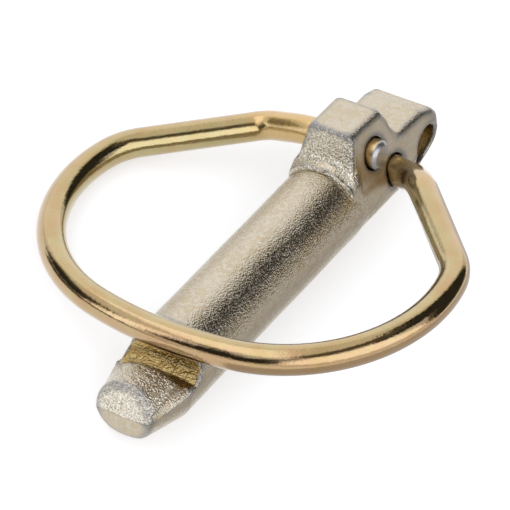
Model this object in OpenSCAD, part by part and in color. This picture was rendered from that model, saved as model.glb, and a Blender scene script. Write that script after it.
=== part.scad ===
// Lynch pin: a forged round pin with a two-lobed head, and a sprung wire ring
// whose two ends turn in offset holes across the head. The ring folds along the
// shaft and snaps into a notch near the tip.
//
// The pin is laid out along X, tip towards -X, with the forging's parting line
// in the plane z = 0 and the lobes on the +z side. Both nodes are then rolled
// about the shaft's axis, so that the object lies as it comes to rest: on the
// round of its shaft and on one side of its ring.
// Origin: the shaft's axis, where the fillet under the head begins.

/* [Shaft] */
// Diameter of the shaft
shaft_d = 11; // [10.5:0.1:11.5]
// Length from the head's front face to the end of the tip
shaft_l = 44.8; // [42:0.2:50]
// Length of the tapered tip beyond the notch
tip_l = 6.8; // [5.5:0.1:8]
// Diameter of the tip's end face
tip_end_d = 7.4; // [6:0.1:8]

/* [Notch for the ring] */
// Height of the notch's floor above the shaft's axis
notch_floor = 0.6; // [0.2:0.1:1.2]
// Height of the tip's crown above the axis, where it meets the notch
crown_h = 2.5; // [2.2:0.1:3]

/* [Head] */
// Distance from the head's front face to its rear end
head_l = 21; // [20:0.5:23]
// Width of the head across its sides, at the parting line
head_w = 10.6; // [10.2:0.1:10.8]
// Height of the front lobe above the shaft's axis
front_lobe_h = 10.1; // [9.2:0.1:10.5]
// Height of the rear lobe above the shaft's axis, at its front
rear_lobe_h = 4.9; // [4.6:0.1:5.2]

/* [Holes] */
// Play of the ring's wire in its two holes, on the diameter
ring_play = 0.4; // [0.2:0.05:0.5]
// Diameter of the hole for a chain or cord, near the head's rear end
chain_hole_d = 5.5; // [5:0.1:5.6]

/* [Ring] */
// Diameter of the ring's wire
wire_d = 3.8; // [3.6:0.1:4]
// Angle between each leg of the ring and the shaft
leg_angle = 46.2; // [45:0.2:48]
// Radius of the ring's shoulders
shoulder_r = 8.5; // [8:0.1:9]
// Radius of the ring's sides
side_r = 20.2; // [19.5:0.1:21]

/* [Hidden] */

shaft_r = shaft_d / 2;
wire_r = wire_d / 2;
ring_hole_d = wire_d + ring_play;
tip_x = -shaft_l;
notch_x = tip_x + tip_l;
notch_l = wire_d + 1.8;

// The fillet under the head reaches this far onto the shaft.
fillet_l = 1.5;
// The shaft is slimmer by this much beside the notch and in the head, and the
// tip and the underside of the head are slimmer again by as much.
relief = 0.05;
under_r = shaft_r - 2 * relief;
// Radius of the crown across the tip, where it meets the notch.
crown_r = 9;
// Rounding at the rim of the tip's end face, and the backward lean of its upper half.
rim = 0.3;
end_lean = 14;

// Side faces of the head lean in by this much for each millimetre of height.
draft = 0.2;
edge_r = 0.8;
// The lobes stand this far past the planes that cut the head's sides flat.
over = 0.03;

// Centres of the holes, as [x, z]. The line between the two ring holes is
// slanted, so the ring is twisted as it turns, and springs to one side.
upper_hole = [5.3, 5.5];
lower_hole = [8.4, 1.1];
chain_hole = [head_l - 4.9, -0.6];

// How far each wire end stands out of the head, and the chamfer of its edge.
end_proud = 1.1;
end_chamfer = 0.5;

// Plane of the ring: its height at x = ring_x, its middle's y, its rise
// towards the tip, and its lean towards the far side.
ring_x = 4.35;
ring_y = 0.75;
ring_z = 3.8;
ring_rise = 2.1;
ring_lean = 0.8;
// The ring's front lies this far from the tip's side of the notch.
seat_gap = 0.93;
// Radius of the bend between each end and its leg. The lower hole's bend begins
// this far outside the head's side.
bend_r = 4.3;
bend_gap = 0.39;
// Arc length of the shoulders, and the radius of the front.
shoulder_arc = 4.9;
front_r = 46;
// The bent wire starts this far inside the head's side, and its straight ends go
// on through the holes. It keeps its height for a stretch outside the head, and
// then comes to the ring's plane over a length of its own on each side.
start_in = 0.8;
level_l = 0.3;
far_climb = 9.3;
near_climb = 8.2;
// Where the bent wire joins its straight ends it is slimmer by this share, over
// this length, so that the one sits inside the other.
neck = 0.03;
neck_l = 0.05;
// Overlap between each straight end and its chamfer.
lap = 0.001;
wire_sides = 20;

pin_colour = [0.72, 0.67, 0.56];
ring_colour = [0.83, 0.68, 0.38];

// Half width of the head's side face at height z.
function side_y(z) = head_w / 2 - draft * z;

// Degrees turned along an arc.
function turn(arc, r) = arc / r * 180 / PI;

// Advance [along, across] of an arc of radius r from heading a to heading b.
// Headings count from 0 along -X.
function arc_step(r, a, b) = r * [sin(a) - sin(b), cos(b) - cos(a)];

// Half the distance between the legs where they start, at x = ring_x.
bend_turn = 90 - leg_angle;
leg_y = side_y(lower_hole[1]) + bend_gap + ring_y
    + (lower_hole[0] - ring_x) * tan(leg_angle) + bend_r * tan(bend_turn / 2);

// The legs are as long as brings the ring's front into the notch: the two
// arcs and the front close on the middle line there.
shoulder_head = leg_angle - turn(shoulder_arc, shoulder_r);
front_head = -90;
front_x = notch_x + wire_r + seat_gap;
arcs = arc_step(shoulder_r, leg_angle, shoulder_head) + side_r * [sin(shoulder_head), -cos(shoulder_head)];
gap_left = [ring_x - front_x - front_r, -leg_y] - arcs;
leg_way = [cos(leg_angle), sin(leg_angle)];
along_leg = gap_left * leg_way;
leg_l = along_leg + sqrt(along_leg ^ 2 - gap_left * gap_left + (front_r - side_r) ^ 2);
side_way = gap_left - leg_l * leg_way;
side_head = atan2(side_way[0], -side_way[1]);

// Corners between the stretches of one half, as [along, across].
leg_end = leg_l * leg_way;
shoulder_end = leg_end + arc_step(shoulder_r, leg_angle, shoulder_head);
side_end = shoulder_end + arc_step(side_r, shoulder_head, side_head);

// Height of the ring's plane.
function plane_z(x, y) = ring_z + (ring_x - x) * sin(ring_rise) + y * sin(ring_lean);

// Roll about the shaft's axis that brings the widest place of the ring's far
// side to the ground, less the slack that keeps its lowest point above it.
wide = shoulder_end + arc_step(side_r, shoulder_head, 0) + [0, leg_y];
wide_y = wide[1] + ring_y;
wide_z = plane_z(ring_x - wide[0], wide_y);
slack = 0.13;
rest_roll = atan2(wide_z, wide_y) + asin((shaft_r - wire_r) / norm([wide_y, wide_z])) - slack;

// The pieces below are drawn with x = 0 at the head's front face.
module at_rest() {
    translate([fillet_l, 0, 0]) rotate([-rest_roll, 0, 0]) children();
}

// A round bar along X from x0 to x1.
module bar(x0, x1, r0, r1) {
    translate([x0, 0, 0]) rotate([0, 90, 0])
        cylinder(h = x1 - x0, r1 = r0, r2 = r1, $fn = 96);
}

// Carries an outline seen from the side right across the pin.
module across() {
    translate([0, shaft_d, 0]) rotate([90, 0, 0])
        linear_extrude(2 * shaft_d) children();
}

// A hole across the head, centred at at = [x, z].
module cross_hole(at, d) {
    translate([at[0], shaft_d, at[1]]) rotate([90, 0, 0])
        cylinder(h = 2 * shaft_d, d = d, $fn = 64);
}

// Two balls, one each side of the head, that touch its sides, at height z.
module ball_pair(x, half_w, z, r) {
    for (side = [-1, 1])
        translate([x, side * (half_w - r), z]) sphere(r = r, $fn = 28);
}

// Thin half of a round disc across the shaft's axis: the upper (1) or the
// lower (-1) half, leaning back by lean degrees.
module half_disc(x, r, half, lean = 0) {
    translate([x, 0, 0]) rotate([0, lean, 0]) intersection() {
        rotate([0, 90, 0]) cylinder(h = 0.01, r = r, $fn = 64);
        translate([-1, -r, min(0, half * 2 * r)]) cube([2, 2 * r, 2 * r]);
    }
}

// The tip: a blunt cone. Its upper side is flattened towards the notch, so that
// the ring rides over it, and its end face leans back above the parting line.
module tip() {
    end_r = tip_end_d / 2;
    hull() {
        intersection() {
            bar(notch_x, notch_x + 0.5, under_r, under_r);
            union() {
                translate([0, 0, crown_h - crown_r])
                    bar(notch_x - 1, notch_x + 1, crown_r, crown_r);
                translate([notch_x - 1, -shaft_r, -shaft_d]) cube([2, shaft_d, shaft_d]);
            }
        }
        half_disc(tip_x + rim + end_r * tan(end_lean), end_r, 1);
        half_disc(tip_x + 2 * rim, end_r, -1);
        half_disc(tip_x, end_r - rim, 1, end_lean);
        half_disc(tip_x, end_r - rim, -1);
    }
}

// The notch: a shallow floor with a steep wall on the head's side, behind the wire.
module notch() {
    translate([notch_x, 0, 0]) across()
        polygon([
            [0, shaft_d],
            [0, notch_floor + 0.5],
            [0.5, notch_floor + 0.3],
            [1.4, notch_floor],
            [2.2, notch_floor + 0.4],
            [3.3, notch_floor + 1.2],
            [notch_l - 1.5, notch_floor + 2.1],
            [notch_l, shaft_r],
            [notch_l + 0.2, shaft_d]
        ]);
}

// Front lobe: a block with rounded edges that leans back at its front and rear.
module front_lobe() {
    top_z = front_lobe_h - edge_r;
    top_w = side_y(top_z) + over;
    foot_w = head_w / 2 + over;
    hull() {
        ball_pair(2.4, top_w, top_z, edge_r);
        ball_pair(8.1, top_w, top_z - 0.3, edge_r);
        ball_pair(edge_r, foot_w, 4.6, edge_r);
        ball_pair(edge_r - 0.5, foot_w, 2.6, edge_r);
        ball_pair(edge_r, foot_w, 0, edge_r);
        ball_pair(10.3, foot_w, 4, edge_r);
        ball_pair(10.3, foot_w, 0, edge_r);
    }
}

// Rear lobe: lower, with the shaft's round carried on under it, and rounded off
// towards the rear end.
module rear_lobe() {
    top_z = rear_lobe_h - edge_r;
    hull() {
        ball_pair(10, side_y(top_z) + over, top_z, edge_r);
        ball_pair(head_l - 2.9, head_w / 2 - 0.9, top_z - 1, edge_r);
        ball_pair(head_l - 4.6, head_w / 2 - 0.1, 0, 2);
        ball_pair(head_l - 2, head_w / 2 - 0.8, 0.8, 1.7);
        half_disc(8.5, under_r, -1);
        half_disc(head_l - 7, under_r - 0.1, -1);
        half_disc(head_l - 2.5, under_r - 0.7, -1);
        half_disc(head_l - 0.8, under_r - 1.5, -1);
        half_disc(head_l, under_r - 2.7, -1);
    }
}

// The head: its sides are flat and lean in, above and below the parting line.
module head() {
    slant = draft * shaft_d;
    intersection() {
        union() {
            bar(0, 9, shaft_r - relief, shaft_r - relief);
            front_lobe();
            rear_lobe();
        }
        translate([-1, 0, 0]) rotate([90, 0, 90]) linear_extrude(head_l + 2) polygon([
            [-head_w / 2, 0],
            [-head_w / 2 + slant, shaft_d],
            [head_w / 2 - slant, shaft_d],
            [head_w / 2, 0],
            [head_w / 2 - slant, -shaft_d],
            [-head_w / 2 + slant, -shaft_d]
        ]);
    }
}

// The shaft: a plain round from the notch to the fillet under the head.
module shaft() {
    bar(notch_x, notch_x + notch_l, shaft_r - relief, shaft_r);
    bar(notch_x + notch_l, -fillet_l, shaft_r, shaft_r);
    bar(-fillet_l, 0, shaft_r, shaft_r - relief);
}

// Ramp that carries the shaft's round up into the head's front face.
module shoulder_ramp() {
    intersection() {
        bar(-fillet_l, 0.3, shaft_r, shaft_r + 0.8);
        translate([-2, -4.2, 0]) cube([4, 8.4, shaft_d]);
    }
}

module pin() {
    color(pin_colour) at_rest() difference() {
        union() {
            shaft();
            tip();
            head();
            shoulder_ramp();
        }
        notch();
        cross_hole(upper_hole, ring_hole_d);
        cross_hole(lower_hole, ring_hole_d);
        cross_hole(chain_hole, chain_hole_d);
    }
}

// Points of an arc that starts at p, in n steps, without its first point.
function arc_points(p, r, a, b, n) =
    [for (i = [1:n]) p + arc_step(r, a, a + (b - a) * i / n)];

// The bend joins the hole's line to the leg. It starts at distance bend_y from
// the ring's middle, for a hole at x.
function bend_y(x) = leg_y + (ring_x - x) * tan(leg_angle) - bend_r * tan(bend_turn / 2);

// One half of the ring in plan, from beside the hole to the middle of the
// front, as [along, across]. It starts at distance start_y from the middle.
function half_plan(x, start_y) =
    concat(
        [for (i = [0:3]) [ring_x - x, start_y + (bend_y(x) - start_y) * i / 4]],
        [[ring_x - x, bend_y(x)]],
        arc_points([ring_x - x, bend_y(x)], bend_r, 90, leg_angle, 8),
        [for (i = [1:6]) leg_end * i / 6 + [0, leg_y]],
        arc_points(leg_end + [0, leg_y], shoulder_r, leg_angle, shoulder_head, 6),
        arc_points(shoulder_end + [0, leg_y], side_r, shoulder_head, side_head, 14),
        arc_points(side_end + [0, leg_y], front_r, side_head, front_head, 4)
    );

// Length of wire from the route's start to point i.
function run(plan, i) = i == 0 ? 0 : run(plan, i - 1) + norm(plan[i] - plan[i - 1]);
function smooth(t) = t <= 0 ? 0 : t >= 1 ? 1 : t * t * (3 - 2 * t);

// One half of the wire's centreline, on the far side (1) or the near side (-1).
function half_route(hole, side, climb) =
    let (
        start_y = side_y(hole[1]) - start_in - side * ring_y,
        plan = half_plan(hole[0], start_y)
    )
    [for (i = [0:len(plan) - 1])
        let (
            x = ring_x - plan[i][0],
            y = ring_y + side * plan[i][1],
            lift = smooth((run(plan, i) - start_in - level_l) / climb)
        )
        [x, y, hole[1] + (plane_z(x, y) - hole[1]) * lift]
    ];

function unit(v) = v / norm(v);

// A round wire swept along a route that stays near a level plane.
module wire(route) {
    last = len(route) - 1;
    points = [
        for (i = [0:last])
            let (
                ahead = unit(route[min(i + 1, last)] - route[max(i - 1, 0)]),
                out = unit(cross([0, 0, 1], ahead)),
                up = cross(ahead, out),
                r = wire_r * (i == 0 || i == last ? 1 - neck : 1)
            )
            for (k = [0:wire_sides - 1])
                let (a = 360 * k / wire_sides)
                route[i] + r * (cos(a) * out + sin(a) * up)
    ];
    faces = concat(
        [[for (k = [0:wire_sides - 1]) k]],
        [for (i = [0:last - 1], k = [0:wire_sides - 1])
            let (j = (k + 1) % wire_sides, a = i * wire_sides, b = a + wire_sides)
            [a + k, b + k, b + j, a + j]],
        [[for (k = [wire_sides - 1:-1:0]) last * wire_sides + k]]
    );
    polyhedron(points, faces);
}

// Straight end of the wire, through its hole, with a chamfered tip.
module wire_end(hole, side, start_y) {
    plain_l = abs(start_y) + side_y(hole[1]) + end_proud - end_chamfer;
    translate([hole[0], start_y, hole[1]]) rotate([side * 90, 0, 0]) {
        cylinder(h = plain_l, r = wire_r, $fn = 64);
        translate([0, 0, plain_l - lap])
            cylinder(h = end_chamfer, r1 = wire_r, r2 = wire_r - end_chamfer, $fn = 64);
    }
}

module ring() {
    far_half = half_route(upper_hole, 1, far_climb);
    near_half = half_route(lower_hole, -1, near_climb);
    turns = len(near_half);
    route = concat(far_half, [for (i = [turns - 2:-1:0]) near_half[i]]);
    color(ring_colour) at_rest() union() {
        wire(route);
        wire_end(upper_hole, 1, far_half[0][1] + neck_l);
        wire_end(lower_hole, -1, near_half[0][1] - neck_l);
    }
}

pin();
ring();
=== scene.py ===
"""Looks for the lynch pin: a forged, yellow-plated pin and its bright wire ring.

Both pieces are made anew over the CAD nodes. The pin is a solid field sampled
on a grid, so that its edges and creases are rounded as a forging's are, and
the ring is a wire swept along the ring's own middle line. Sizes are in
millimetres in the pin's own frame: x = 0 at the head's front face, the tip
towards -x, the parting line in the plane z = 0 and the lobes on the +z side.
"""

import math

import bpy
import numpy as np
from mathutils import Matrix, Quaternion, Vector


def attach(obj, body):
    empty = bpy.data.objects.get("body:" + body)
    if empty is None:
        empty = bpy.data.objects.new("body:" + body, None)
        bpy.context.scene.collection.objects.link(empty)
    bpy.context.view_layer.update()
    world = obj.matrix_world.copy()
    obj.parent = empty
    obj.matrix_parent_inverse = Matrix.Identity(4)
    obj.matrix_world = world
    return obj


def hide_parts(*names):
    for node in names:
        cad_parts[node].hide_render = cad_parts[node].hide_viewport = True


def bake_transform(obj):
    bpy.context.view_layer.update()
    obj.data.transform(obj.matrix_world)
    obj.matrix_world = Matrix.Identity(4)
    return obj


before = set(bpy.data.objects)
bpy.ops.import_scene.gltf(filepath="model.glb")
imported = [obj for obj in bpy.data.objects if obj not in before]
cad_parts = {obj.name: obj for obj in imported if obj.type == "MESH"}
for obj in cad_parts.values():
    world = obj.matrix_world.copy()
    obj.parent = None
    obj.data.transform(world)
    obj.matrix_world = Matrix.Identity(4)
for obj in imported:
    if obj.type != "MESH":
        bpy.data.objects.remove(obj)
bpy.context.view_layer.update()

# Where the pin's own frame lies in the row's frame.
ROLL = math.radians(18.1)
FILLET_L = 1.5
GROUND_Z = -5.5

# Pin
SHAFT_R = 5.5
UNDER_R = 5.4
NOTCH_X = -38.0
TIP_X = -44.8
TIP_END_R = 3.95
END_LEAN = math.radians(18)
LOWER_LEAN = math.radians(4)
CROWN_H = 2.5
HEAD_HALF_W = 5.3
DRAFT = 0.2
UPPER_HOLE = (5.3, 5.5)
LOWER_HOLE = (8.4, 1.1)
CHAIN_HOLE = (16.1, -0.6)
RING_HOLE_R = 2.1
CHAIN_HOLE_R = 2.75
# Rounding at the holes' rims.
RING_HOLE_RIM = 0.35
CHAIN_HOLE_RIM = 0.7
# The surface is drawn in by this much, so that its ripple and its flash, the thin
# seam left along the parting line, stay inside the CAD's box.
INSET = 0.055
RIPPLE_H = 0.022
FLASH_HALF_W = 0.16
SHAFT_FLASH_H = 0.02
HEAD_FLASH_H = 0.08
# The lip at the foot of the head's front face: its heights above the shaft, where
# it starts, the length it rises over, and half its width.
LIP_H = 0.45
LIP_RISE = 0.65
LIP_X = -1.2
LIP_L = 1.6
LIP_HALF_W = 4.9

# Ring
WIRE_R = 1.88
LEG_ANGLE = 46.2
LEG_L = 14.4
SHOULDER_R = 8.5
SHOULDER_HEAD = 13.17
SIDE_R = 20.2
SIDE_HEAD = -78.16
FRONT_R = 46.0
RING_X = 4.35
RING_Y = 0.75
RING_Z = 3.8
RING_RISE = math.radians(2.1)
RING_LEAN = math.radians(0.8)
LEG_Y = 12.172
FAR_BEND_R = 4.3
NEAR_BEND_R = 8.0
END_PROUD = 1.1
FAR_CLIMB = 9.3
NEAR_CLIMB = 8.2
LEVEL_L = 0.3
START_IN = 2.0
# Length of wire that the sheared end's own loops take up, and the gap between the rest.
END_L = 0.8
LOOP_GAP = 0.3

# Gaps and distances of the stage, in metres.
LAMP_AT = 1.0
CARD_AT = 1.4
FLOOR_HALF_W = 4
FLOOR_GAP = 0.00002
FLOOR_CARD_GAP = 0.00001
LAMP_COLOUR = (0.96, 1.0, 1.15)

# Brightness, where 1 is white: the floor's own and its glow on rays that see it, and
# the background as it lights the object and as it is seen.
FLOOR_COLOUR = (0.65, 0.65, 0.65, 1)
FLOOR_GLOW = 0.5
BACK_LIGHT = 0.75
BACK_SEEN = 1.0

# Camera, in metres.
CAMERA_AT = (-0.352326, -0.127949, 0.413968)
CAMERA_AIM = (-0.013425, 0.001196, 0.002)
CAMERA_ROLL = math.radians(17.267)
CAMERA_LENS = 320.37


def to_row(points):
    """Points in the pin's frame, in mm, as points in the row's frame, in metres."""
    x, y, z = np.asarray(points, float).T
    c, s = math.cos(ROLL), math.sin(ROLL)
    return np.stack([x + FILLET_L, y * c + z * s, z * c - y * s], axis=1) / 1000


# ---------------------------------------------------------------- solid fields


def larger(a, b, k):
    """Larger of two fields, with the corner between them rounded over about k."""
    h = np.clip(0.5 + 0.5 * (a - b) / k, 0, 1)
    return b + (a - b) * h + k * h * (1 - h)


def smaller(a, b, k):
    """Smaller of two fields, with the crease between them filled over about k."""
    return -larger(-a, -b, k)


def outline(corners, x, z):
    """Signed distance from the points (x, z) to a closed outline."""
    corners = np.asarray(corners, float)
    nearest = np.full(x.shape, 1e9)
    inside = np.zeros(x.shape, bool)
    for a, b in zip(corners, np.roll(corners, -1, axis=0)):
        e = b - a
        t = np.clip(((x - a[0]) * e[0] + (z - a[1]) * e[1]) / (e @ e), 0, 1)
        nearest = np.minimum(nearest, np.hypot(x - a[0] - t * e[0], z - a[1] - t * e[1]))
        crosses = (a[1] > z) != (b[1] > z)
        rise = e[1] if abs(e[1]) > 1e-9 else 1e-9
        inside ^= crosses & (x < a[0] + (z - a[1]) * e[0] / rise)
    return np.where(inside, -nearest, nearest)


def ridge_z(x):
    """Height of the ridge between the upper and lower halves of the tip."""
    return np.interp(x, [TIP_X, NOTCH_X], [-0.6, 0.35])


def rod_field(x, y, z):
    """The shaft and the tapered tip. Below its ridge the tip is round with a flat
    underneath, and above it the tip is an arc that is lowest at the notch."""
    up = np.maximum(z - ridge_z(x), 0)
    down = np.maximum(ridge_z(x) - z, 0)
    t_low = np.clip((NOTCH_X - x) / (NOTCH_X - TIP_X), 0, 1)
    half_w = SHAFT_R + (TIP_END_R - SHAFT_R) * t_low
    low_part = np.hypot(y, z) - half_w
    flat = -z - np.interp(x, [TIP_X, NOTCH_X], [3.75, 6.4])
    low_part = larger(low_part, flat, 0.7)
    rise = np.interp(x, [TIP_X, TIP_X + 0.9, NOTCH_X], [4.3, 4.2, CROWN_H - 0.35])
    arc_r = (half_w**2 + rise**2) / (2 * rise)
    high_part = np.hypot(y, up + arc_r - rise) - arc_r
    past = np.clip((x - NOTCH_X) / 0.15, 0, 1)
    high_part = high_part + (np.hypot(y, z) - SHAFT_R - high_part) * past
    side = np.where(z > ridge_z(x), high_part, low_part)
    upper_end = (TIP_X - x) * math.cos(END_LEAN) + up * math.sin(END_LEAN)
    lower_end = (TIP_X - x) * math.cos(LOWER_LEAN) + down * math.sin(LOWER_LEAN)
    end = larger(upper_end, lower_end, 0.1)
    return larger(side, end + 0.03, np.where(z > ridge_z(x), 1.1, 0.8))


def notch_outline():
    """The notch, seen from the side: a sloping floor, and a steep wall behind the wire."""
    corners = [(0, 12), (0, 1.15), (0.5, 0.85), (1.3, 0.6), (2.9, 1.5), (3.15, 2.6),
               (4.2, 3.1)]
    rows = [(NOTCH_X + dx, z) for dx, z in corners]
    return rows + [(NOTCH_X + 4.95, SHAFT_R), (NOTCH_X + 5.2, 12)]


def front_lobe_outline():
    """Middles of the rounded edges of the front lobe, seen from the side."""
    return [(0.8, 0), (0.3, 2.6), (0.8, 4.6), (2.4, 9.3), (8.0, 9.0), (8.7, 7.6),
            (8.9, 6.6), (9.8, 4.6), (10.5, 3.6), (10.5, 0)]


def rear_lobe_outline():
    """The rear lobe, seen from the side, from its top to the head's underside."""
    return [(3.3, 4.1), (12, 4.05), (16, 3.85), (17.8, 3.2), (19, 2.0), (19.8, 0.4),
            (20.2, -0.6), (20.2, -2), (19.4, -3.2), (17.4, -4.1), (13, -4.6), (3.3, -4.65)]


def plan_half_width(x):
    """Half width of the rear lobe in plan."""
    return np.interp(x, [0, 13, 15, 16.5, 17.8, 18.9, 19.8, 20.5, 20.9, 21.1],
                     [5.45, 5.45, 5.4, 5.22, 4.93, 4.5, 3.95, 3.2, 2.5, 1.6])


def ripple(x, y, z, seed, waves, short, long):
    """Gentle uneven field from a few plane waves, between about -1 and 1."""
    rng = np.random.default_rng(seed)
    total = 0
    for _ in range(waves):
        way = rng.normal(size=3)
        way *= 2 * math.pi / rng.uniform(short, long) / np.linalg.norm(way)
        total = total + np.sin(way[0] * x + way[1] * y + way[2] * z + rng.uniform(0, 6.28))
    return total / math.sqrt(waves)


def pin_field(xs, ys, zs):
    """Signed distance field of the pin, in mm, on a grid."""
    x = xs[:, None, None]
    y = ys[None, :, None]
    z = zs[None, None, :]
    flat_x, flat_z = np.meshgrid(xs, zs, indexing="ij")

    def side_view(corners, grow):
        return (outline(corners, flat_x, flat_z) - grow)[:, None, :]

    radius = np.hypot(y, z)
    rod = larger(rod_field(x, y, z), -side_view(notch_outline(), 0), 0.45)
    rod = larger(rod, x + 0.35 * (radius - SHAFT_R), 0.1)

    sides = (np.abs(y) - HEAD_HALF_W + DRAFT * np.abs(z)) / math.hypot(1, DRAFT)
    plan = np.hypot(y, np.minimum(z, 0)) - plan_half_width(x)
    profile = smaller(
        side_view(front_lobe_outline(), 0.8), side_view(rear_lobe_outline(), 0.8), 1.3
    )
    head = larger(profile, larger(sides, plan, 0.5), 1.0)
    under = larger(radius - UNDER_R, np.maximum(-x, x - 9), 0.1)
    head = np.minimum(head, under)

    # The lip at the foot of the front face, one small step above the shaft.
    ramp = radius - SHAFT_R - LIP_H - np.clip((x - LIP_X) / LIP_L, 0, 1) * LIP_RISE
    start = LIP_X + 0.12 * (y / 4) ** 2
    ramp = larger(ramp, np.abs(y) - LIP_HALF_W, 0.6)
    ramp = larger(ramp, np.maximum(start - x, x - 1), 0.3)
    ramp = larger(ramp, 1 - z, 0.5)
    crease = 0.1 + 0.6 * np.clip((z - 1.5) / 2.5, 0, 1)
    head = smaller(head, ramp, crease)
    body = smaller(head, rod, 0.12)

    body = body + INSET + RIPPLE_H * ripple(x, y, z, seed=11, waves=10, short=4, long=11)
    in_head = np.clip((x + 1) / 2, 0, 1)
    flash_h = SHAFT_FLASH_H + (HEAD_FLASH_H - SHAFT_FLASH_H) * in_head
    body = body - np.exp(-((z / FLASH_HALF_W) ** 2)) * flash_h

    for (hole_x, hole_z), r, rim in (
        (UPPER_HOLE, RING_HOLE_R, RING_HOLE_RIM),
        (LOWER_HOLE, RING_HOLE_R, RING_HOLE_RIM),
        (CHAIN_HOLE, CHAIN_HOLE_R, CHAIN_HOLE_RIM),
    ):
        hole = r - np.hypot(flat_x - hole_x, flat_z - hole_z)
        body = larger(body, hole[:, None, :], rim)
    return body


def blurred(field, passes):
    """The field after a few passes of a short blur along each axis."""
    for _ in range(passes):
        for axis in range(3):
            ahead = np.roll(field, -1, axis)
            behind = np.roll(field, 1, axis)
            field = (ahead + 2 * field + behind) / 4
    return field


def sample(field, low, step, points):
    """The field at each point, between the grid's own samples."""
    at = (points - low) / step
    cell = np.clip(np.floor(at).astype(int), 0, np.array(field.shape) - 2)
    f = at - cell
    value = 0
    for dx in (0, 1):
        for dy in (0, 1):
            for dz in (0, 1):
                share = (
                    np.where(dx, f[:, 0], 1 - f[:, 0])
                    * np.where(dy, f[:, 1], 1 - f[:, 1])
                    * np.where(dz, f[:, 2], 1 - f[:, 2])
                )
                value = value + share * field[cell[:, 0] + dx, cell[:, 1] + dy, cell[:, 2] + dz]
    return value


def skin(field, low, step):
    """Closed skin of the field's zero surface: one point in each cell that it passes
    through, and one four-sided face for each grid edge that it crosses."""
    solid = field < 0
    shape = np.array(field.shape) - 1
    total = np.zeros((*shape, 3))
    count = np.zeros(shape)
    for axis in range(3):
        others = [a for a in range(3) if a != axis]
        lo = [slice(None)] * 3
        hi = [slice(None)] * 3
        lo[axis], hi[axis] = slice(0, -1), slice(1, None)
        a, b = field[tuple(lo)], field[tuple(hi)]
        cut = (a < 0) != (b < 0)
        t = np.where(cut, a / np.where(cut, a - b, 1), 0)
        for da in (0, 1):
            for db in (0, 1):
                at = [slice(None)] * 3
                at[others[0]] = slice(da, da + shape[others[0]])
                at[others[1]] = slice(db, db + shape[others[1]])
                c = cut[tuple(at)]
                total[..., axis] += np.where(c, t[tuple(at)], 0)
                total[..., others[0]] += c * da
                total[..., others[1]] += c * db
                count += c
    used = count > 0
    index = np.full(shape, -1)
    index[used] = np.arange(used.sum())
    cells = np.argwhere(used)
    points = low + step * (cells + total[used] / count[used][:, None])
    faces = []
    for axis in range(3):
        u, v = (axis + 1) % 3, (axis + 2) % 3
        lo = [slice(1, -1)] * 3
        hi = [slice(1, -1)] * 3
        lo[axis], hi[axis] = slice(0, -1), slice(1, None)
        cut = solid[tuple(lo)] != solid[tuple(hi)]
        at = np.argwhere(cut)
        at[:, u] += 1
        at[:, v] += 1
        corners = []
        for du, dv in ((-1, -1), (0, -1), (0, 0), (-1, 0)):
            c = at.copy()
            c[:, u] += du
            c[:, v] += dv
            corners.append(index[c[:, 0], c[:, 1], c[:, 2]])
        quads = np.stack(corners, axis=1)
        leaves = solid[at[:, 0], at[:, 1], at[:, 2]]
        quads[~leaves] = quads[~leaves][:, ::-1]
        faces.append(quads)
    return points, np.concatenate(faces)


def settle(points, field, low, step, rounds=3):
    """The points, moved onto the field's zero surface."""
    slopes = [np.gradient(field, step, axis=axis) for axis in range(3)]
    for _ in range(rounds):
        slope = np.stack([sample(s, low, step, points) for s in slopes], axis=1)
        size = np.maximum((slope**2).sum(axis=1), 0.2)
        move = sample(field, low, step, points) / size
        points = points - 0.7 * np.clip(move, -step / 3, step / 3)[:, None] * slope
    return points


def new_mesh(name, points, faces):
    """A smooth-shaded object from points in the pin's frame and four-sided faces."""
    mesh = bpy.data.meshes.new(name)
    mesh.vertices.add(len(points))
    mesh.vertices.foreach_set("co", to_row(points).astype(np.float32).ravel())
    mesh.loops.add(faces.size)
    mesh.loops.foreach_set("vertex_index", faces.astype(np.int32).ravel())
    mesh.polygons.add(len(faces))
    mesh.polygons.foreach_set("loop_start", np.arange(0, faces.size, 4, dtype=np.int32))
    mesh.polygons.foreach_set("use_smooth", np.ones(len(faces), bool))
    mesh.update(calc_edges=True)
    mesh.validate()
    obj = bpy.data.objects.new(name, mesh)
    bpy.context.scene.collection.objects.link(obj)
    return obj


def put_numbers(obj, name, values):
    """Stores one number, or one vector, for each of the object's points."""
    values = np.asarray(values, np.float32)
    if values.ndim == 1:
        obj.data.attributes.new(name, "FLOAT", "POINT").data.foreach_set("value", values)
    else:
        store = obj.data.attributes.new(name, "FLOAT_VECTOR", "POINT")
        store.data.foreach_set("vector", values.ravel())


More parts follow.
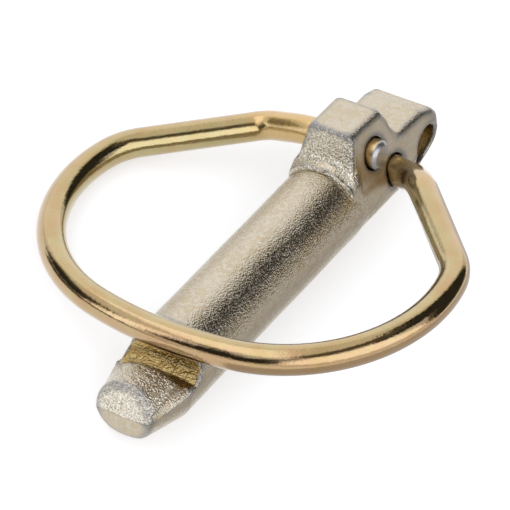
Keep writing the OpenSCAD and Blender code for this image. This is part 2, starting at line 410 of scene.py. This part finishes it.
def make_pin():
    step = 0.18
    low = np.array([TIP_X - 0.9, -6.3, -6.3])
    high = np.array([22.0, 6.3, 11.0])
    counts = np.ceil((high - low) / step).astype(int)
    axes = [low[a] + step * np.arange(counts[a]) for a in range(3)]
    field = pin_field(*axes)
    points, faces = skin(field, low, step)
    points = settle(points, field, low, step)
    soft = blurred(field, round(0.5 / step**2))
    obj = new_mesh("pin_forging", points, faces)
    put_numbers(obj, "rest", points)
    # Above 0 on convex edges and below 0 in creases.
    put_numbers(obj, "edge", sample(soft, low, step, points))
    # 1 in the notch, which was cut after forging, and half that in the chain hole. The gold
    # these get is partly the cut surface's own and partly a painted reflection of the ring over
    # the notch.
    in_notch = np.abs(outline(notch_outline(), points[:, 0], points[:, 2])) < 0.12
    x, y, z = points.T
    in_hole = np.hypot(x - CHAIN_HOLE[0], z - CHAIN_HOLE[1]) < CHAIN_HOLE_R + 0.25
    put_numbers(obj, "cut", np.maximum(in_notch & (z < 4.5), 0.5 * in_hole))
    normals = np.empty(3 * len(points), np.float32)
    obj.data.vertices.foreach_get("normal", normals)
    normals = normals.reshape(-1, 3)
    facing = -normals[:, 0]
    sideways = np.abs(normals[:, 1] * math.cos(ROLL) - normals[:, 2] * math.sin(ROLL))
    struck_and_glinting = np.clip((facing - 0.35) / 0.3, 0, 1) * (z > ridge_z(x) + 0.2)
    crown = (x < NOTCH_X - 0.2) & (z > ridge_z(x) + 1.2)
    # Faces towards the tip, and the tip's crown, are the roughest; their colour also carries
    # near-white painted glints.
    put_numbers(obj, "coarse_and_glinting", np.maximum(struck_and_glinting, 0.8 * crown))
    # The head's sides are the smoothest.
    calm = 0.4 + 0.6 * np.clip((sideways - 0.6) / 0.3, 0, 1)
    put_numbers(obj, "calm", calm * np.clip((x - 1.2) / 0.6, 0, 1) * (facing < 0.35))
    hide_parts("pin")
    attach(obj, "pin")
    return obj


# ------------------------------------------------------------------------ ring


def arc_step(r, a, b):
    """Advance (along, across) of an arc of radius r from heading a to b, in degrees."""
    a, b = np.radians(a), np.radians(b)
    return r * np.stack([np.sin(a) - np.sin(b), np.cos(b) - np.cos(a)], axis=-1)


def half_plan(hole_x, start_y, bend_r):
    """One half of the ring in plan, as dense (along, across) points from beside its hole."""
    turn = 90 - LEG_ANGLE
    angle = math.radians(LEG_ANGLE)
    leg_meets = LEG_Y + (RING_X - hole_x) * math.tan(angle)
    bend_y = leg_meets - bend_r * math.tan(math.radians(turn / 2))
    bend_at = np.array([RING_X - hole_x, bend_y])
    straight = np.linspace([RING_X - hole_x, start_y], bend_at, 40)
    bend = bend_at + arc_step(bend_r, 90, np.linspace(90, LEG_ANGLE, 60))
    leg_end = np.array([0, LEG_Y]) + LEG_L * np.array([math.cos(angle), math.sin(angle)])
    leg = np.linspace(bend[-1], leg_end, 80)
    headings = np.linspace(LEG_ANGLE, SHOULDER_HEAD, 60)
    shoulder = leg_end + arc_step(SHOULDER_R, LEG_ANGLE, headings)
    headings = np.linspace(SHOULDER_HEAD, SIDE_HEAD, 240)
    side = shoulder[-1] + arc_step(SIDE_R, SHOULDER_HEAD, headings)
    front = side[-1] + arc_step(FRONT_R, SIDE_HEAD, np.linspace(SIDE_HEAD, -90, 60))
    return np.concatenate([straight, bend[1:], leg[1:], shoulder[1:], side[1:], front[1:]])


def half_line(hole, side, bend_r, climb):
    """Middle line of one half of the ring, from its end in the hole to the front's middle."""
    side_y = HEAD_HALF_W - DRAFT * hole[1]
    start_y = side_y - START_IN - side * RING_Y
    plan = half_plan(hole[0], start_y, bend_r)
    run = np.concatenate([[0], np.cumsum(np.linalg.norm(np.diff(plan, axis=0), axis=1))])
    t = np.clip((run - START_IN - LEVEL_L) / climb, 0, 1)
    lift = t * t * (3 - 2 * t)
    x = RING_X - plan[:, 0]
    y = RING_Y + side * plan[:, 1]
    plane = RING_Z + (RING_X - x) * math.sin(RING_RISE) + y * math.sin(RING_LEAN)
    z = hole[1] + (plane - hole[1]) * lift
    line = np.stack([x, y, z], axis=1)
    tip = np.array([hole[0], -side * (side_y + END_PROUD), hole[1]])
    return np.concatenate([np.linspace(tip, line[0], 60)[:-1], line])


def even(line, gap):
    """The line again, with points about gap apart."""
    run = np.concatenate([[0], np.cumsum(np.linalg.norm(np.diff(line, axis=0), axis=1))])
    at = np.linspace(0, run[-1], round(run[-1] / gap) + 1)
    return np.stack([np.interp(at, run, line[:, a]) for a in range(3)], axis=1), at


def sweep(name, line, run, sides, outward):
    """A wire along the line, with a chamfered and slightly domed start and an open end."""
    ahead = np.gradient(line, axis=0)
    ahead /= np.linalg.norm(ahead, axis=1)[:, None]
    out = np.cross([0, 0, 1], ahead)
    out /= np.linalg.norm(out, axis=1)[:, None]
    up = np.cross(ahead, out)
    angle = 2 * math.pi * np.arange(sides) / sides
    turn_out = np.cos(angle)[None, :, None]
    turn_up = np.sin(angle)[None, :, None]
    spoke = out[:, None, :] * turn_out + up[:, None, :] * turn_up
    body = line[:, None, :] + spoke * WIRE_R
    # The sheared end: a nearly flat face, a narrow chamfer, and close loops that keep
    # both crisp.
    profile = [(0.3, 0), (WIRE_R - 0.62, 0.02), (WIRE_R - 0.5, 0.05), (WIRE_R - 0.42, 0.1),
               (WIRE_R - 0.1, 0.4), (WIRE_R - 0.03, 0.5), (WIRE_R, 0.62)]
    ends = [line[0] + ahead[0] * depth + spoke[0] * r for r, depth in profile]
    first = np.searchsorted(run, END_L)
    rings = np.concatenate([np.array(ends), body[first:]])
    along = np.concatenate([[0, 0, 0, 0.1, 0.4, 0.5, 0.62], run[first:]])
    count = len(rings)
    points = np.concatenate([rings.reshape(-1, 3), [line[0]]])
    i = np.arange(count - 1)[:, None] * sides
    k = np.arange(sides)[None, :]
    j = (k + 1) % sides
    faces = np.stack([i + k, i + j, i + sides + j, i + sides + k], axis=-1).reshape(-1, 4)
    middle = len(points) - 1
    cap = [[middle, q, q + 1, (q + 2) % sides] for q in range(0, sides, 2)]
    faces = np.concatenate([faces, np.array(cap)[:, ::-1]])
    obj = new_mesh(name, points, faces)
    put_numbers(obj, "rest", points)
    put_numbers(obj, "along", np.append(np.repeat(along, sides), 0))
    put_numbers(obj, "around", np.append(np.tile(outward * np.cos(angle), count), 0))
    return obj


def make_ring():
    """Two halves that meet at the front's middle. Each bends between the pin, which
    holds its end, and the ring's own body."""
    sides = 48
    made = []
    for name, hole, side, bend_r, climb in (
        ("ring_far_half", UPPER_HOLE, 1, FAR_BEND_R, FAR_CLIMB),
        ("ring_near_half", LOWER_HOLE, -1, NEAR_BEND_R, NEAR_CLIMB),
    ):
        line, run = even(half_line(hole, side, bend_r, climb), LOOP_GAP)
        obj = sweep(name, line, run, sides, -side)
        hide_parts("ring")
        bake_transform(obj)
        made.append(obj)
    return made


# ------------------------------------------------------------------- materials


class Nodes:
    """Short hand for building one node tree, of a material or of the world."""

    def __init__(self, owner):
        owner.use_nodes = True
        self.owner = owner
        self.tree = owner.node_tree
        self.tree.nodes.clear()

    def feed(self, socket, value):
        if isinstance(value, bpy.types.NodeSocket):
            self.tree.links.new(value, socket)
        else:
            socket.default_value = value

    def add(self, kind, inputs=None, **settings):
        node = self.tree.nodes.new(kind)
        for key, value in settings.items():
            setattr(node, key, value)
        for key, value in (inputs or {}).items():
            self.feed(node.inputs[key], value)
        return node

    def attribute(self, name, output="Fac"):
        return self.add("ShaderNodeAttribute", attribute_name=name).outputs[output]

    def noise(self, at, scale, detail=2.0, rough=0.5):
        inputs = {"Vector": at, "Scale": scale, "Detail": detail, "Roughness": rough}
        return self.add("ShaderNodeTexNoise", inputs).outputs["Fac"]

    def ramp(self, value, low, high, out_low=0.0, out_high=1.0):
        inputs = {
            "Value": value,
            "From Min": low,
            "From Max": high,
            "To Min": out_low,
            "To Max": out_high,
        }
        return self.add("ShaderNodeMapRange", inputs).outputs["Result"]

    def math(self, operation, a, b=0.0):
        return self.add("ShaderNodeMath", {0: a, 1: b}, operation=operation).outputs["Value"]

    def mix(self, share, a, b):
        node = self.add("ShaderNodeMix", data_type="RGBA")
        colours = [socket for socket in node.inputs if socket.type == "RGBA"]
        for socket, value in zip([node.inputs[0], *colours], (share, a, b)):
            self.feed(socket, value)
        return [socket for socket in node.outputs if socket.type == "RGBA"][0]

    def part(self, share, most, colour, over):
        """The colour with another over it, by that share of the most it may cover."""
        return self.mix(self.math("MULTIPLY", share, most), colour, over)

    def plus(self, total, *terms):
        """The total with each value added, times its amount."""
        for value, amount in terms:
            total = self.math("ADD", total, self.math("MULTIPLY", value, amount))
        return total

    def bump(self, height, distance, strength):
        inputs = {"Height": height, "Distance": distance, "Strength": strength}
        return self.add("ShaderNodeBump", inputs).outputs["Normal"]

    def shader(self, **inputs):
        named = {key.replace("_", " "): value for key, value in inputs.items()}
        out = self.add("ShaderNodeBsdfPrincipled", named)
        self.add("ShaderNodeOutputMaterial", {"Surface": out.outputs["BSDF"]})
        return self.owner


# Both materials read the attribute rest, so their noise scales are per millimetre.


def pin_material():
    """Satin yellow zinc over a blasted forging: tan, speckled, and worn grey on edges, with
    painted glints on faces towards the tip, painted shade in creases, and a partly painted ring
    reflection in the notch.
    """
    n = Nodes(bpy.data.materials.new("yellow_zinc_forging"))
    rest = n.attribute("rest", "Vector")
    edge = n.attribute("edge")
    coarse_and_glinting = n.attribute("coarse_and_glinting")
    calm = n.attribute("calm")

    patches = n.noise(rest, 0.22, 3.0, 0.6)
    grain = n.noise(rest, 1.5, 2.0, 0.5)
    speckle = n.noise(rest, 4.4, 1.5, 0.5)
    fine = n.noise(rest, 8.0, 1.0, 0.5)

    colour = n.mix(n.ramp(patches, 0.35, 0.65), (0.48, 0.40, 0.27, 1), (0.52, 0.45, 0.34, 1))
    colour = n.mix(n.ramp(grain, 0.45, 0.60), colour, (0.54, 0.48, 0.38, 1))
    pits = n.ramp(fine, 0.58, 0.72)
    colour = n.part(pits, 0.3, colour, (0.27, 0.23, 0.17, 1))

    # Painted glints: near-white speckle over the faces towards the tip and over the crown,
    # where the lights catch the blasted surface.
    glint_spots = n.ramp(n.noise(rest, 4.0, 2.0, 0.6), 0.34, 0.60)
    struck_and_glinting = n.mix(glint_spots, (0.50, 0.43, 0.31, 1), (0.98, 0.94, 0.82, 1))
    colour = n.part(coarse_and_glinting, 0.75, colour, struck_and_glinting)

    cut = n.attribute("cut")
    # Gold in the notch: partly the cut surface's plating, partly a painted reflection of the
    # ring that lies over it; half of it in the chain hole.
    colour = n.mix(cut, colour, (0.52, 0.38, 0.16, 1))
    ragged = n.ramp(grain, 0.3, 0.7, -0.03, 0.03)
    wear = n.ramp(n.math("ADD", edge, ragged), 0.05, 0.14)
    colour = n.part(wear, 0.75, colour, (0.24, 0.24, 0.245, 1))
    # Painted shade: creases are darkened to a deep gold.
    crease = n.ramp(edge, -0.03, -0.09)
    colour = n.part(crease, 0.5, colour, (0.33, 0.26, 0.13, 1))

    roughness = n.plus(n.ramp(grain, 0.3, 0.7, 0.13, 0.21), (wear, 0.05), (calm, 0.24))
    grain_h = n.plus(0.1, (coarse_and_glinting, 2.2))
    speckle_h = n.plus(0.75, (coarse_and_glinting, 0.9), (cut, -0.5), (calm, -0.5))
    height = n.plus(n.math("MULTIPLY", grain, grain_h), (speckle, speckle_h), (fine, 0.2))
    normal = n.bump(height, 0.00012, 1.0)
    return n.shader(Base_Color=colour, Metallic=1.0, Roughness=roughness, Normal=normal)


def ring_material():
    """Bright yellow zinc over smooth spring wire, with painted sheen colours on its sides and a
    painted gold reflection near its ends.
    """
    n = Nodes(bpy.data.materials.new("bright_yellow_zinc_wire"))
    rest = n.attribute("rest", "Vector")
    along = n.attribute("along")
    around = n.attribute("around")
    patches = n.noise(rest, 0.25, 2.0, 0.5)
    fine = n.noise(rest, 4.0, 3.0, 0.6)
    colour = n.mix(n.ramp(patches, 0.35, 0.65), (0.41, 0.27, 0.095, 1), (0.44, 0.33, 0.14, 1))
    # Painted sheen: the plating's iridescence, which shifts with the angle of view, painted
    # pink on the wire's outer side and green on its inner side, over a random film tint.
    film_and_sheen_tint = n.math("ADD", around, n.ramp(n.noise(rest, 0.4, 1.0), 0.3, 0.7, -0.8, 0.8))
    colour = n.mix(n.ramp(film_and_sheen_tint, 0.1, 1.2, 0.0, 0.5), colour, (0.47, 0.27, 0.14, 1))
    colour = n.mix(n.ramp(film_and_sheen_tint, -0.1, -1.2, 0.0, 0.5), colour, (0.36, 0.33, 0.14, 1))
    specks = n.ramp(n.noise(rest, 7.0, 1.0), 0.66, 0.72)
    colour = n.part(specks, 0.6, colour, (0.14, 0.10, 0.06, 1))
    # Near the wire's ends: rougher from rubbing, and a brighter gold that is a painted
    # reflection of the lit surroundings.
    rubbed_and_gold_lit = n.ramp(along, 22.0, 15.0)
    colour = n.part(rubbed_and_gold_lit, 0.7, colour, (0.62, 0.40, 0.14, 1))
    sheared = n.ramp(along, 0.16, 0.08)
    silver = n.ramp(along, 0.75, 0.55)
    colour = n.mix(silver, colour, (0.40, 0.39, 0.37, 1))
    colour = n.mix(sheared, colour, (0.36, 0.32, 0.27, 1))
    roughness = n.ramp(fine, 0.3, 0.7, 0.06, 0.13)
    roughness = n.plus(roughness, (sheared, 0.25), (silver, 0.1), (rubbed_and_gold_lit, 0.2))
    height = n.math("ADD", n.math("MULTIPLY", fine, 0.6), n.noise(rest, 0.8, 2.0))
    normal = n.bump(height, 0.00005, 0.6)
    return n.shader(
        Base_Color=colour, Metallic=1.0, Roughness=roughness, Normal=normal,
        Coat_Weight=1.0, Coat_IOR=1.6, Coat_Roughness=0.06,
    )


# ------------------------------------------------------------- stage and light


def flat_material(name, colour):
    n = Nodes(bpy.data.materials.new(name))
    return n.shader(Base_Color=(*colour, 1), Roughness=1.0, Specular_IOR_Level=0.0)


def seen_ray(n):
    """1 for a ray that shows the background: from the camera, or off gloss or through glass."""
    ray = n.add("ShaderNodeLightPath").outputs
    seen = n.math("MAXIMUM", ray["Is Camera Ray"], ray["Is Glossy Ray"])
    return n.math("MAXIMUM", seen, ray["Is Transmission Ray"])


def floor_material():
    """A white sheet that keeps the object's shadow."""
    n = Nodes(bpy.data.materials.new("white_sheet"))
    glow = n.math("MULTIPLY", seen_ray(n), FLOOR_GLOW)
    return n.shader(
        Base_Color=FLOOR_COLOUR, Roughness=1.0, Specular_IOR_Level=0.0,
        Emission_Color=(1, 1, 1, 1), Emission_Strength=glow,
    )


def towards(azimuth, elevation, distance):
    """A place seen from the object at that azimuth from +X and elevation, in degrees."""
    a, e = math.radians(azimuth), math.radians(elevation)
    way = Vector((math.cos(e) * math.cos(a), math.cos(e) * math.sin(a), math.sin(e)))
    return Vector((-0.01, 0, 0)) + distance * way


def sheet(name, low, high, z, material):
    """A level four-sided sheet between two corners, not yet in the scene."""
    (x0, y0), (x1, y1) = low, high
    mesh = bpy.data.meshes.new(name)
    mesh.from_pydata(
        [(x0, y0, z), (x1, y0, z), (x1, y1, z), (x0, y1, z)], [], [(0, 1, 2, 3)]
    )
    mesh.materials.append(material)
    return bpy.data.objects.new(name, mesh)


def place(obj, azimuth, elevation, distance):
    """Puts a sheet or lamp there, square on to the object and level."""
    bpy.context.scene.collection.objects.link(obj)
    obj.location = towards(azimuth, elevation, distance)
    tilt = math.radians(90 - elevation)
    obj.rotation_euler = (tilt, 0, math.radians(azimuth + 90))
    obj.visible_camera = False
    return obj


def angular(width, height, distance):
    """Size of a sheet that covers those angles, in degrees, at that distance."""
    return [2 * distance * math.tan(math.radians(angle / 2)) for angle in (width, height)]


def dark_card(name, azimuth, elevation, width, height, material):
    """A card that the object reflects, and that takes no light from it otherwise."""
    w, h = (size / 2 for size in angular(width, height, CARD_AT))
    obj = place(sheet(name, (-w, -h), (w, h), 0, material), azimuth, elevation, CARD_AT)
    obj.visible_shadow = False
    obj.visible_diffuse = False


def floor_card(name, low, high, material):
    """A card laid on the floor, seen only in the object's reflections."""
    card = sheet(name, low, high, GROUND_Z / 1000 + FLOOR_CARD_GAP, material)
    bpy.context.scene.collection.objects.link(card)
    card.visible_camera = card.visible_diffuse = card.visible_shadow = False


def softbox(name, azimuth, elevation, width, height, level):
    """A lamp of that brightness, where 1 is white paper in full light."""
    light = bpy.data.lights.new(name, "AREA")
    light.shape = "RECTANGLE"
    light.color = LAMP_COLOUR
    light.size, light.size_y = angular(width, height, LAMP_AT)
    light.energy = level * math.pi * light.size * light.size_y
    place(bpy.data.objects.new(name, light), azimuth, elevation, LAMP_AT)


def light_stage():
    w = FLOOR_HALF_W
    floor = sheet("floor", (-w, -w), (w, w), 0, floor_material())
    bpy.context.scene.collection.objects.link(floor)
    floor.location = (0, 0, GROUND_Z / 1000 - FLOOR_GAP)

    # Azimuth, elevation, width and height in degrees. Lamps end with their level.
    softbox("near_softbox", -110, 38, 85, 43, 0.95)
    softbox("high_softbox", 125, 61, 74, 28, 0.9)
    softbox("strip_light", 138, 18, 14, 44, 1.0)
    softbox("back_wall", 38, 25, 72, 44, 0.35)

    black = flat_material("black_card", (0.055, 0.055, 0.054))
    dark_card("right_card", -36, 38, 56, 72, black)
    dark_card("camera_card", 170, 33, 54, 46, black)
    dark_card("left_card", 105, 11, 42, 28, black)
    brown = flat_material("brown_card", (0.22, 0.19, 0.16))
    dark_card("top_card", -95, 78, 60, 20, brown)

    # Painted shadow: a grey card where the object's shadow darkens the floor, seen only in
    # reflections.
    grey = flat_material("floor_shadow_grey_card", (0.62, 0.60, 0.57))
    floor_card("right_floor_shadow_card", (-0.07, -0.16), (0.09, -0.008), grey)
    floor_card("left_floor_card", (-0.25, 0.045), (-0.03, 0.3), black)

    world = bpy.data.worlds.new("studio")
    bpy.context.scene.world = world
    n = Nodes(world)
    level = n.ramp(seen_ray(n), 0, 1, BACK_LIGHT, BACK_SEEN)
    back = n.add("ShaderNodeBackground", {"Color": (1, 1, 1, 1), "Strength": level})
    n.add("ShaderNodeOutputWorld", {"Surface": back.outputs["Background"]})


def add_camera():
    position = Vector(CAMERA_AT)
    camera = bpy.data.cameras.new("camera")
    camera.sensor_width = 36
    camera.lens = CAMERA_LENS
    camera.clip_start, camera.clip_end = 0.05, 20
    obj = bpy.data.objects.new("camera", camera)
    bpy.context.scene.collection.objects.link(obj)
    obj.location = position
    obj.rotation_mode = "QUATERNION"
    look = (Vector(CAMERA_AIM) - position).to_track_quat("-Z", "Y")
    obj.rotation_quaternion = look @ Quaternion((0, 0, 1), CAMERA_ROLL)
    bpy.context.scene.camera = obj


forging = make_pin()
forging.data.materials.append(pin_material())
wire_finish = ring_material()
for half in make_ring():
    half.data.materials.append(wire_finish)
light_stage()
add_camera()

settings = bpy.context.scene.view_settings
settings.view_transform = "Standard"
